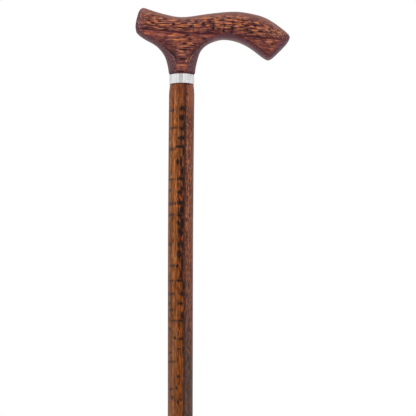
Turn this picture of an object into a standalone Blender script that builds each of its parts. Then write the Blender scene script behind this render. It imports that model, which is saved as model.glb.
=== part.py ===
"""A wooden walking cane with a carved Fritz handle.

The handle and the tapered shaft meet inside a metal collar and are held by a
double-ended screw. The foot is a slip-on rubber tip with a steel washer in it.
The origin is on the ground under the shaft, +Z is up the shaft, and the long
tail of the handle points to +X.
"""
import math

import bmesh
import bpy
from mathutils import Vector

# Clearance between pieces that touch, and how near two points are one point
GAP = 0.0003
MERGE_DISTANCE = 0.00001

# Shaft: its length is the part between the washer and the collar. Just under the
# collar it is drawn in a little, and swells to its full width over the ease length.
SHAFT_LENGTH = 0.8356
SHAFT_TOP_DIAMETER = 0.0220
SHAFT_FOOT_DIAMETER = 0.0200
SHAFT_FOOT_CHAMFER = 0.0015
SHOULDER_EASE_LENGTH = 0.0100

# Collar, set in from the shaft's full width. The shoulder under it and the neck
# over it are set in again from the collar's own surface.
COLLAR_INSET = 0.00025
COLLAR_WALL = 0.0008
COLLAR_HEIGHT = 0.0082
COLLAR_EDGE_ROUND = 0.0003
SHOULDER_INSET = 0.0005
NECK_INSET = 0.0001

# Joining screw, in a bore that ends below the top of the handle
SCREW_DIAMETER = 0.0080
SCREW_THREAD_DEPTH = 0.0011
SCREW_PITCH = 0.0030
SCREW_POINT_LENGTH = 0.0050
SCREW_DEPTH_IN_SHAFT = 0.0360
BORE_SPARE_DEPTH = 0.0030
WOOD_OVER_BORE = 0.0125

# Rubber tip and its washer
TIP_HEIGHT = 0.0460
TIP_FLOOR = 0.0090
TIP_WALL = 0.0027
TIP_FLARE = 0.0042
TIP_FLANGE_HEIGHT = 0.0060
TIP_EDGE_ROUND = 0.0012
TREAD_DEPTH = 0.0018
TREAD_CENTRE_DIAMETER = 0.0090
TREAD_GROOVES = 2
RIB_COUNT = 3
RIB_REACH = 0.0011
RIB_WIDTH = 0.0026
WASHER_THICKNESS = 0.0015
WASHER_HOLE_DIAMETER = 0.0060

# Handle: its reaches are measured from the shaft's axis, its height from the
# collar to the top of the saddle, and its width across the palm swell.
NOSE_REACH = 0.0402
TAIL_REACH = 0.0935
SADDLE_HEIGHT = 0.0505
GRIP_WIDTH = 0.0264

# Sides of a turned piece and of the screw
TURNED_SIDES = 48
SCREW_SIDES = 12

# Radii and heights that follow from the sizes above
COLLAR_RADIUS = SHAFT_TOP_DIAMETER / 2 - COLLAR_INSET
SPIGOT_RADIUS = COLLAR_RADIUS - COLLAR_WALL - GAP
SHOULDER_RADIUS = COLLAR_RADIUS - SHOULDER_INSET
NECK_RADIUS = COLLAR_RADIUS - NECK_INSET
SCREW_BORE_RADIUS = SCREW_DIAMETER / 2 + GAP
WASHER_BOTTOM = TIP_FLOOR + GAP
WASHER_TOP = WASHER_BOTTOM + WASHER_THICKNESS
SHAFT_FOOT = WASHER_TOP + GAP
SHOULDER = SHAFT_FOOT + SHAFT_LENGTH
COLLAR_BOTTOM = SHOULDER + GAP
COLLAR_TOP = COLLAR_BOTTOM + COLLAR_HEIGHT
SPIGOT_TOP = COLLAR_TOP
NECK_BOTTOM = COLLAR_TOP + GAP
HANDLE_BORE_TOP = NECK_BOTTOM + SADDLE_HEIGHT - WOOD_OVER_BORE
SCREW_TOP = HANDLE_BORE_TOP - BORE_SPARE_DEPTH
SCREW_BOTTOM = SPIGOT_TOP - SCREW_DEPTH_IN_SHAFT

# Sections of the grip from nose to tail, each cut from its top point to its
# bottom point. Along the grip a length is a share of NOSE_REACH (negative) or
# TAIL_REACH, a height is a share of SADDLE_HEIGHT, and a half width or a bow,
# how far the section's middle stands out of the straight cut, is a share of
# half of GRIP_WIDTH.
#        top            bottom       half width  bow
GRIP_SHARES = (
    ((-0.897, 1.098), (-0.977, 0.755), 0.56, -0.10),
    ((-0.842, 1.158), (-0.905, 0.684), 0.74, -0.09),
    ((-0.740, 1.143), (-0.780, 0.613), 0.81, -0.04),
    ((-0.560, 1.093), (-0.630, 0.547), 0.83, 0.0),
    ((-0.300, 1.036), (-0.490, 0.461), 0.86, 0.0),
    ((0.010, 1.000), (0.010, 0.400), 0.89, 0.0),
    ((0.180, 1.037), (0.200, 0.478), 0.90, 0.0),
    ((0.275, 1.060), (0.300, 0.585), 0.91, 0.0),
    ((0.395, 1.083), (0.400, 0.618), 0.93, 0.0),
    ((0.530, 1.087), (0.520, 0.573), 0.97, 0.0),
    ((0.670, 1.045), (0.630, 0.470), 1.00, 0.0),
    ((0.810, 0.950), (0.715, 0.350), 1.00, 0.0),
    ((0.950, 0.764), (0.760, 0.288), 0.97, 0.0),
    ((0.997, 0.672), (0.798, 0.261), 0.87, 0.02),
    ((0.988, 0.594), (0.837, 0.307), 0.64, 0.02),
)
# The neck grows out of the underside between the sections on each side of this one.
SADDLE_SECTION = 5
# Share of a section's half height and half width at which its corners lie
GRIP_CORNER_SHARE = 0.79
# The same at the foot of the saddle's section, where the front runs on down the neck
NECK_FRONT_SHARE = 0.985
# How far the two end faces swell at their centres, as a share of half of GRIP_WIDTH
NOSE_SWELL_SHARE = 0.05
TAIL_SWELL_SHARE = 0.01

# Sections of the neck from the top down: height as a share of SADDLE_HEIGHT, then
# the reach to the nose side, to the tail side and to the front as shares of
# NECK_RADIUS, and the place of the corners as in GRIP_CORNER_SHARE. The neck is round
# where it meets the collar. The last two sections run on past it and are cut off.
NECK_SHARES = (
    (0.325, 1.405, 1.365, 1.085, 0.74),
    (0.193, 1.190, 1.200, 1.055, 0.72),
    (0.087, 1.092, 1.107, 1.030, 0.71),
    (0.030, 1.045, 1.070, 1.020, 0.7071),
    (-0.012, 0.980, 0.980, 0.980, 0.7071),
    (-0.060, 0.940, 0.940, 0.940, 0.7071),
)


def clear_scene():
    for old in list(bpy.data.objects):
        bpy.data.objects.remove(old, do_unlink=True)


def new_collection(name):
    collection = bpy.data.collections.new(name)
    bpy.context.scene.collection.children.link(collection)
    return collection


def new_material(name, colour, roughness, metallic=0.0):
    material = bpy.data.materials.new(name)
    material.use_nodes = True
    material.diffuse_color = (*colour, 1.0)
    shader = material.node_tree.nodes["Principled BSDF"]
    shader.inputs["Base Color"].default_value = (*colour, 1.0)
    shader.inputs["Roughness"].default_value = roughness
    shader.inputs["Metallic"].default_value = metallic
    return material


def new_object(name, mesh, collection, material=None):
    piece = bpy.data.objects.new(name, mesh)
    collection.objects.link(piece)
    if material:
        mesh.materials.append(material)
    return piece


def mark_as_cutter(piece):
    piece.hide_render = True
    piece.display_type = "WIRE"


def shade_round(piece, angle=35.0):
    piece.data.shade_smooth()
    piece.data.set_sharp_from_angle(angle=math.radians(angle))


def turned(name, profile, collection, material=None, closed=False):
    """A solid of revolution about Z from (radius, height) points, down the outer side."""
    mesh = bpy.data.meshes.new(name)
    points = [(radius, 0.0, height) for radius, height in profile]
    edges = [(i, i + 1) for i in range(len(points) - 1)]
    if closed:
        edges.append((len(points) - 1, 0))
    mesh.from_pydata(points, edges, [])
    piece = new_object(name, mesh, collection, material)
    screw = piece.modifiers.new("turn", "SCREW")
    screw.axis = "Z"
    screw.steps = TURNED_SIDES
    screw.render_steps = TURNED_SIDES
    screw.use_merge_vertices = True
    screw.merge_threshold = MERGE_DISTANCE
    screw.use_smooth_shade = True
    return piece


def bead(radius, height, reach, width, steps=4):
    """Points of a half-round bead on a wall, from its upper side to its lower."""
    return [
        (
            radius + reach * math.sin(math.pi * i / steps),
            height + width / 2 * math.cos(math.pi * i / steps),
        )
        for i in range(steps + 1)
    ]


def corner_arc(radius, height, size, start, steps=3):
    """Points of a quarter round of this size about a centre, clockwise from the start angle."""
    angles = [math.radians(start - 90.0 * i / steps) for i in range(steps + 1)]
    return [
        (radius + size * math.cos(angle), height + size * math.sin(angle))
        for angle in angles
    ]


def shaft_radius(height):
    """The shaft's radius below its shoulder, tapering straight from top to foot."""
    share = (height - SHAFT_FOOT) / SHAFT_LENGTH
    return (SHAFT_FOOT_DIAMETER * (1 - share) + SHAFT_TOP_DIAMETER * share) / 2


def eased_shoulder(steps=5):
    """Points down the shaft from its shoulder to where it has its full width."""
    full = shaft_radius(SHOULDER - SHOULDER_EASE_LENGTH)
    points = []
    for i in range(steps + 1):
        share = i / steps
        swell = math.sin(share * math.pi / 2)
        radius = SHOULDER_RADIUS + (full - SHOULDER_RADIUS) * swell
        points.append((radius, SHOULDER - SHOULDER_EASE_LENGTH * share))
    return points


def make_shaft(collection, material):
    bore_floor = SCREW_BOTTOM - BORE_SPARE_DEPTH
    chamfer_top = SHAFT_FOOT + SHAFT_FOOT_CHAMFER
    profile = [
        (0.0, bore_floor),
        (SCREW_BORE_RADIUS, bore_floor),
        (SCREW_BORE_RADIUS, SPIGOT_TOP),
        (SPIGOT_RADIUS, SPIGOT_TOP),
        (SPIGOT_RADIUS, SHOULDER),
    ]
    profile += eased_shoulder()
    profile += [
        (shaft_radius(chamfer_top), chamfer_top),
        (SHAFT_FOOT_DIAMETER / 2 - SHAFT_FOOT_CHAMFER, SHAFT_FOOT),
        (0.0, SHAFT_FOOT),
    ]
    return turned("shaft", profile, collection, material)


def make_collar(collection, material):
    inner = COLLAR_RADIUS - COLLAR_WALL
    edge = COLLAR_EDGE_ROUND
    profile = [(inner, COLLAR_TOP)]
    profile += corner_arc(COLLAR_RADIUS - edge, COLLAR_TOP - edge, edge, 90.0)
    profile += corner_arc(COLLAR_RADIUS - edge, COLLAR_BOTTOM + edge, edge, 0.0)
    profile.append((inner, COLLAR_BOTTOM))
    return turned("collar", profile, collection, material, closed=True)


def make_washer(collection, material):
    outer = SHAFT_FOOT_DIAMETER / 2
    inner = WASHER_HOLE_DIAMETER / 2
    profile = [
        (inner, WASHER_TOP),
        (outer, WASHER_TOP),
        (outer, WASHER_BOTTOM),
        (inner, WASHER_BOTTOM),
    ]
    return turned("tip_washer", profile, collection, material, closed=True)


def tread_profile(edge_radius):
    """The sole from its rim to its centre: lands on the ground with grooves between."""
    centre = TREAD_CENTRE_DIAMETER / 2
    band = (edge_radius - centre) / (2 * TREAD_GROOVES)
    profile = []
    for groove in reversed(range(TREAD_GROOVES)):
        inner = centre + 2 * band * groove
        outer = inner + band
        profile += [(outer, 0.0), (outer, TREAD_DEPTH), (inner, TREAD_DEPTH), (inner, 0.0)]
    return profile


def make_rubber_tip(collection, material):
    mouth = shaft_radius(TIP_HEIGHT) + GAP
    floor = SHAFT_FOOT_DIAMETER / 2 + GAP
    sleeve = mouth + TIP_WALL
    sole = sleeve + TIP_FLARE
    edge = TIP_EDGE_ROUND
    sleeve_top = TIP_HEIGHT - edge
    fillet = TIP_FLARE - edge
    bend = fillet * (1 - math.sin(math.pi / 4))
    profile = [(0.0, TIP_FLOOR), (floor, TIP_FLOOR), (mouth, TIP_HEIGHT)]
    profile += corner_arc(sleeve - edge, sleeve_top, edge, 90.0)
    rib_spacing = (sleeve_top - TIP_FLANGE_HEIGHT) / (RIB_COUNT + 1)
    for rib in range(RIB_COUNT):
        profile += bead(sleeve, sleeve_top - rib_spacing * (rib + 1), RIB_REACH, RIB_WIDTH)
    profile += [
        (sleeve, TIP_FLANGE_HEIGHT + fillet),
        (sleeve + bend, TIP_FLANGE_HEIGHT + bend),
    ]
    profile += corner_arc(sole - edge, TIP_FLANGE_HEIGHT - edge, edge, 90.0)
    profile += corner_arc(sole - edge, edge, edge, 0.0)
    profile += tread_profile(sole - edge)
    profile.append((0.0, 0.0))
    return turned("rubber_tip", profile, collection, material)


def make_joining_screw(collection, material):
    """One tooth is turned up a helix, and a point closes each end of the thread."""
    crest = SCREW_DIAMETER / 2
    core = crest - SCREW_THREAD_DEPTH
    threaded = SCREW_TOP - SCREW_BOTTOM - 2 * SCREW_POINT_LENGTH
    turns = round(threaded / SCREW_PITCH) - 1
    first = (SCREW_BOTTOM + SCREW_TOP - (turns + 1) * SCREW_PITCH) / 2
    body = bmesh.new()
    tooth = [
        body.verts.new((core, 0.0, first + SCREW_PITCH)),
        body.verts.new((crest, 0.0, first + SCREW_PITCH / 2)),
        body.verts.new((core, 0.0, first)),
    ]
    edges = [body.edges.new(pair) for pair in zip(tooth, tooth[1:])]
    bmesh.ops.spin(
        body,
        geom=tooth + edges,
        cent=(0.0, 0.0, 0.0),
        axis=(0.0, 0.0, 1.0),
        dvec=(0.0, 0.0, SCREW_PITCH / SCREW_SIDES),
        angle=math.tau * turns,
        steps=SCREW_SIDES * turns,
    )
    bmesh.ops.remove_doubles(body, verts=body.verts, dist=MERGE_DISTANCE)
    close_ends(body, SCREW_BOTTOM, SCREW_TOP)
    mesh = bpy.data.meshes.new("joining_screw")
    body.to_mesh(mesh)
    body.free()
    piece = new_object("joining_screw", mesh, collection, material)
    shade_round(piece)
    return piece


def close_ends(body, bottom, top):
    """Draws the open edges at each end to a point on the axis."""
    middle = (bottom + top) / 2
    open_edges = [edge for edge in body.edges if edge.is_boundary]
    bottom_point = body.verts.new((0.0, 0.0, bottom))
    top_point = body.verts.new((0.0, 0.0, top))
    for edge in open_edges:
        is_upper = edge.verts[0].co.z > middle
        body.faces.new((*edge.verts, top_point if is_upper else bottom_point))
    face_outwards(body)


def face_outwards(body):
    """Turns the faces of a closed body so that all of them point out of it."""
    bmesh.ops.recalc_face_normals(body, faces=body.faces)
    if body.calc_volume(signed=True) < 0.0:
        bmesh.ops.reverse_faces(body, faces=body.faces)


def grip_point(along, height, side):
    reach = NOSE_REACH if along < 0 else TAIL_REACH
    return Vector((along * reach, side * GRIP_WIDTH / 2, NECK_BOTTOM + height * SADDLE_HEIGHT))


def grip_ring(section, lower_corner=GRIP_CORNER_SHARE):
    """Five points down the front half of a section, from its top to its bottom."""
    top, bottom, width, bow = section
    start = grip_point(*top, 0.0)
    end = grip_point(*bottom, 0.0)
    down = end - start
    outward = Vector((-down.z, 0.0, down.x)).normalized() * bow * GRIP_WIDTH / 2
    front = Vector((0.0, -width * GRIP_WIDTH / 2, 0.0))
    inset = (1 - GRIP_CORNER_SHARE) / 2
    return [
        start,
        start + down * inset + outward * GRIP_CORNER_SHARE + front * GRIP_CORNER_SHARE,
        start + down / 2 + outward + front,
        end - down * inset + outward * GRIP_CORNER_SHARE + front * lower_corner,
        end,
    ]


def neck_ring(section):
    """Five points round the front half of a section, from the nose side to the tail side."""
    height, nose_side, tail_side, front_side, corner = section
    level = NECK_BOTTOM + height * SADDLE_HEIGHT
    middle = (tail_side - nose_side) / 2 * NECK_RADIUS
    half_length = (tail_side + nose_side) / 2 * NECK_RADIUS
    half_width = front_side * NECK_RADIUS
    shape = ((-1.0, 0.0), (-corner, corner), (0.0, 1.0), (corner, corner), (1.0, 0.0))
    return [Vector((middle + half_length * x, -half_width * y, level)) for x, y in shape]


def add_strip(body, ring, next_ring, skip=()):
    for i in range(len(ring) - 1):
        if i not in skip:
            body.faces.new((ring[i], ring[i + 1], next_ring[i + 1], next_ring[i]))


def add_cap(body, ring, swell):
    """Closes half of a section with two faces that meet at a swollen centre."""
    centre = (ring[0].co + ring[4].co) / 2
    centre += Vector((swell.x, 0.0, swell.z))
    hub = body.verts.new(centre)
    body.faces.new((ring[0], ring[1], ring[2], hub))
    body.faces.new((ring[2], ring[3], ring[4], hub))


def cap_swell(section, amount):
    top, bottom, _, bow = section
    down = grip_point(*bottom, 0.0) - grip_point(*top, 0.0)
    outward = Vector((-down.z, 0.0, down.x)).normalized()
    return outward * (bow + amount) * GRIP_WIDTH / 2


def handle_cage():
    """The front half of the handle's cage, open on the plane of symmetry."""
    body = bmesh.new()
    rings = [grip_ring(row) for row in GRIP_SHARES]
    rings[SADDLE_SECTION] = grip_ring(GRIP_SHARES[SADDLE_SECTION], NECK_FRONT_SHARE)
    grip = [[body.verts.new(point) for point in ring] for ring in rings]
    neck = [[body.verts.new(point) for point in neck_ring(row)] for row in NECK_SHARES]
    before, saddle, after = grip[SADDLE_SECTION - 1 : SADDLE_SECTION + 2]
    for ring, next_ring in zip(grip, grip[1:]):
        opening = (3,) if saddle in (ring, next_ring) else ()
        add_strip(body, ring, next_ring, opening)
    mouth = [before[4], before[3], saddle[3], after[3], after[4]]
    for ring, next_ring in zip([mouth] + neck, neck):
        add_strip(body, ring, next_ring)
    body.verts.remove(saddle[4])
    add_cap(body, grip[0], cap_swell(GRIP_SHARES[0], -NOSE_SWELL_SHARE))
    add_cap(body, grip[-1], cap_swell(GRIP_SHARES[-1], TAIL_SWELL_SHARE))
    add_cap(body, neck[-1], Vector((0.0, 0.0, 0.0)))
    return body


def limit_point(vert):
    """Where endless Catmull-Clark subdivision takes a point of a cage of quads."""
    count = len(vert.link_edges)
    near = sum((edge.other_vert(vert).co for edge in vert.link_edges), Vector())
    far = Vector()
    for loop in vert.link_loops:
        far += loop.link_loop_next.link_loop_next.vert.co
    return (vert.co * count**2 + near * 4 + far) / (count * (count + 5))


def fit_cage(body, rounds=60):
    """Moves the cage out until its smooth surface passes through the sections' points."""
    wanted = [vert.co.copy() for vert in body.verts]
    for _ in range(rounds):
        limits = [limit_point(vert) for vert in body.verts]
        for vert, goal, limit in zip(body.verts, wanted, limits):
            vert.co += goal - limit


def make_handle(collection, cutters, material, levels=2):
    body = handle_cage()
    front_half = body.verts[:] + body.edges[:] + body.faces[:]
    bmesh.ops.mirror(body, geom=front_half, axis="Y", merge_dist=MERGE_DISTANCE)
    face_outwards(body)
    fit_cage(body)
    mesh = bpy.data.meshes.new("handle")
    body.to_mesh(mesh)
    body.free()
    piece = new_object("handle", mesh, collection, material)
    shade_round(piece)
    smooth = piece.modifiers.new("smooth", "SUBSURF")
    smooth.levels = levels
    smooth.render_levels = levels
    cut = piece.modifiers.new("neck face and screw bore", "BOOLEAN")
    cut.operation = "DIFFERENCE"
    cut.solver = "EXACT"
    cut.object = make_handle_cutter(cutters)
    return piece


def make_handle_cutter(cutters):
    """Faces off the neck at the collar and bores it for the screw."""
    below = NECK_BOTTOM - SADDLE_HEIGHT / 4
    profile = [
        (0.0, HANDLE_BORE_TOP),
        (SCREW_BORE_RADIUS, HANDLE_BORE_TOP),
        (SCREW_BORE_RADIUS, NECK_BOTTOM),
        (NECK_RADIUS * 2, NECK_BOTTOM),
        (NECK_RADIUS * 2, below),
        (0.0, below),
    ]
    cutter = turned("handle_cutter", profile, cutters)
    # Half a side round, so that its edges miss the handle's plane of symmetry
    cutter.rotation_euler.z = math.pi / TURNED_SIDES
    mark_as_cutter(cutter)
    return cutter


def main():
    clear_scene()
    parts = new_collection("walking_cane")
    cutters = new_collection("cutters")
    make_handle(parts, cutters, new_material("handle_wood", (0.16, 0.045, 0.022), 0.32))
    make_collar(parts, new_material("collar_metal", (0.86, 0.87, 0.88), 0.15, 1.0))
    make_shaft(parts, new_material("shaft_wood", (0.22, 0.075, 0.020), 0.32))
    make_joining_screw(parts, new_material("screw_steel", (0.55, 0.55, 0.56), 0.35, 1.0))
    make_washer(parts, new_material("washer_steel", (0.60, 0.60, 0.61), 0.40, 1.0))
    make_rubber_tip(parts, new_material("tip_rubber", (0.020, 0.020, 0.021), 0.75))


main()
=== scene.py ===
"""The looks of a wooden walking cane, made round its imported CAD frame.

The handle, the collar, the shaft and the rubber tip are made here as fine meshes in
the places of their CAD nodes. The hidden screw and washer keep their CAD meshes.
The frame is in metres; the wood's grain is laid out in millimetres.
"""
import math
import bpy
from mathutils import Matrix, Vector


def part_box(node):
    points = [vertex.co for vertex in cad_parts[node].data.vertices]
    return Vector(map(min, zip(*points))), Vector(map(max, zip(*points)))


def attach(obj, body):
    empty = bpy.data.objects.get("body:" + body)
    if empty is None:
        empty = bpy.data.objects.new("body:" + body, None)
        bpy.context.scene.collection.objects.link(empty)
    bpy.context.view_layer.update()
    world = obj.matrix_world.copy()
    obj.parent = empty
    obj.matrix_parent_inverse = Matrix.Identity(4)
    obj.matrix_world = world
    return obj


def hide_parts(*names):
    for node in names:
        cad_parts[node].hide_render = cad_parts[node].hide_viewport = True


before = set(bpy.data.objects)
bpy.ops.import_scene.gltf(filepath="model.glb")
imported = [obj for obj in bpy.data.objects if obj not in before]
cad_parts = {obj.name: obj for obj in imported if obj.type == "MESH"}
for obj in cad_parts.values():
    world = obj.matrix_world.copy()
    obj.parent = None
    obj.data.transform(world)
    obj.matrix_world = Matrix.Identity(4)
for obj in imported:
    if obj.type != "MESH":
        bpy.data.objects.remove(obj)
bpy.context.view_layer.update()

from types import SimpleNamespace

import bmesh
import bpy
from mathutils import Vector

MM = 0.001
MERGE_DISTANCE = 0.00001
SHARP_ANGLE = 35.0

# Places of the CAD nodes that the finer pieces stand in for
NECK_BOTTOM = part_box("handle")[0].z
COLLAR_LOW, COLLAR_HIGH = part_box("collar")
SHAFT_LOW, SHAFT_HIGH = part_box("shaft")
TIP_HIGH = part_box("rubber_tip")[1]
COLLAR_RADIUS = COLLAR_HIGH.x

# Camera of the photograph: a long lens, a little to the tail side and well below
# the handle, tipped up towards it
CAMERA_LENS = 200.0
CAMERA_SENSOR = 36.0
CAMERA_DISTANCE = 1.97474
CAMERA_SIDE = 0.02268
CAMERA_DROP = 0.33703
CAMERA_PITCH = 6.4

# Studio: how much of the white world gives light, the floor, and the softboxes with
# place, side and power, all turned to one place on the shaft
WORLD_LIGHT = 0.70
FLOOR_REACH = 12.0
FLOOR_GLOW = 0.62
SOFTBOX_AIM = (0.0, 0.0, 0.75)
SOFTBOXES = {
    "key": ((-1.3, -2.5, 1.9), 2.6, 32.0),
    "fill": ((1.5, -2.3, 1.5), 2.4, 20.0),
    "back": ((0.4, 2.6, 2.4), 3.0, 36.0),
}

# Handle, as in the CAD: reaches from the shaft's axis, height of the saddle over
# the collar, width across the palm swell, and the bore for the screw
NOSE_REACH = 0.0402
TAIL_REACH = 0.0935
SADDLE_HEIGHT = 0.0505
GRIP_WIDTH = 0.0264
NECK_RADIUS = COLLAR_RADIUS - 0.0001
BORE_RADIUS = 0.0043
BORE_DEPTH = 0.0380

# Collar, as in the CAD
COLLAR_WALL = 0.0008
COLLAR_ROUND = 0.0003

# Shaft, as in the CAD, and how uneven its surface is
SHAFT_TOP_RADIUS = 0.0110
SHAFT_FOOT_RADIUS = 0.0100
SHAFT_CHAMFER = 0.0015
SHOULDER_RADIUS = COLLAR_RADIUS - 0.0005
SHOULDER_EASE = 0.0100
SPIGOT_RADIUS = COLLAR_RADIUS - 0.0011
SHOULDER = COLLAR_LOW.z - 0.0003
SHAFT_BORE_DEPTH = 0.0390
SHAFT_UNEVENNESS = 0.00008

# The stick isn't quite straight. Going down from its shoulder it bows to the nose side,
# keeps all its bow between these two distances, and is back on its axis at the foot
SHAFT_BOW = 0.00096
BOW_TOP = 0.170
BOW_BOTTOM = 0.300

# Rubber tip, as in the CAD, with its tread's edges rounded and its ribs rooted in the wall
TIP_RADIUS = TIP_HIGH.x
TIP_FLOOR = 0.0090
TIP_WALL = 0.0027
TIP_FLARE = 0.0042
TIP_FLANGE_HEIGHT = 0.0060
TIP_ROUND = 0.0012
TIP_CLEARANCE = 0.0003
TREAD_DEPTH = 0.0018
TREAD_CENTRE_RADIUS = 0.0045
TREAD_GROOVES = 2
TREAD_ROUND = 0.0003
RIB_COUNT = 3
RIB_REACH = 0.0011
RIB_WIDTH = 0.0026
RIB_ROOT = 0.0002

# How finely each piece is made, and how far a cut or a joint goes past its face
HANDLE_SMOOTHING = 4
BORE_SIDES = 64
COLLAR_SIDES = 160
SHAFT_SIDES = 80
SHAFT_RING_SPACING = 0.002
TIP_SIDES = 96
BEAD_SIDES = 20
CUT_OVERLAP = 0.002

# Sections of the grip from nose to tail: top and bottom as shares of the reach
# and of the saddle's height, then half width and bow as shares of half the width
GRIP_SHARES = (
    ((-0.897, 1.098), (-0.977, 0.755), 0.56, -0.10),
    ((-0.842, 1.158), (-0.905, 0.684), 0.74, -0.09),
    ((-0.740, 1.143), (-0.780, 0.613), 0.81, -0.04),
    ((-0.560, 1.093), (-0.630, 0.547), 0.83, 0.0),
    ((-0.300, 1.036), (-0.490, 0.461), 0.86, 0.0),
    ((0.010, 1.000), (0.010, 0.400), 0.89, 0.0),
    ((0.180, 1.037), (0.200, 0.478), 0.90, 0.0),
    ((0.275, 1.060), (0.300, 0.585), 0.91, 0.0),
    ((0.395, 1.083), (0.400, 0.618), 0.93, 0.0),
    ((0.530, 1.087), (0.520, 0.573), 0.97, 0.0),
    ((0.670, 1.045), (0.630, 0.470), 1.00, 0.0),
    ((0.810, 0.950), (0.715, 0.350), 1.00, 0.0),
    ((0.950, 0.764), (0.760, 0.288), 0.97, 0.0),
    ((0.997, 0.672), (0.798, 0.261), 0.87, 0.02),
    ((0.988, 0.594), (0.837, 0.307), 0.64, 0.02),
)
SADDLE_SECTION = 5
GRIP_CORNER_SHARE = 0.79
NECK_FRONT_SHARE = 0.985
NOSE_SWELL_SHARE = 0.05
TAIL_SWELL_SHARE = 0.01

# Sections of the neck from the top down: height as a share of the saddle's, reach
# to the nose side, the tail side and the front as shares of the neck's radius, and
# the place of the corners
NECK_SHARES = (
    (0.325, 1.405, 1.365, 1.085, 0.74),
    (0.193, 1.190, 1.200, 1.055, 0.72),
    (0.087, 1.092, 1.107, 1.030, 0.71),
    (0.030, 1.045, 1.070, 1.020, 0.7071),
    (-0.012, 0.980, 0.980, 0.980, 0.7071),
    (-0.060, 0.940, 0.940, 0.940, 0.7071),
)


# Nodes written as short sums. Every colour is given as a screen shows it, 0 to 255

def paint(red, green, blue):
    """The linear numbers that nodes mix for this colour."""
    parts = [part / 255 for part in (red, green, blue)]
    linear = [part / 12.92 if part <= 0.04045 else ((part + 0.055) / 1.055) ** 2.4 for part in parts]
    return (*linear, 1.0)


def calculation(operation, swapped=False):
    """An operator for Value, which adds the node that works it out."""
    def work_out(value, other):
        return value.recipe.sum(operation, *((other, value) if swapped else (value, other)))
    return work_out


class Value:
    """What one node gives out: a number, a place or a colour that varies over a surface."""

    def __init__(self, recipe, socket):
        self.recipe = recipe
        self.socket = socket

    __add__ = __radd__ = calculation("ADD")
    __sub__ = calculation("SUBTRACT")
    __rsub__ = calculation("SUBTRACT", swapped=True)
    __mul__ = __rmul__ = calculation("MULTIPLY")
    __truediv__ = calculation("DIVIDE")
    __rtruediv__ = calculation("DIVIDE", swapped=True)

    def __abs__(self):
        return self.recipe.sum("ABSOLUTE", self)


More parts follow.
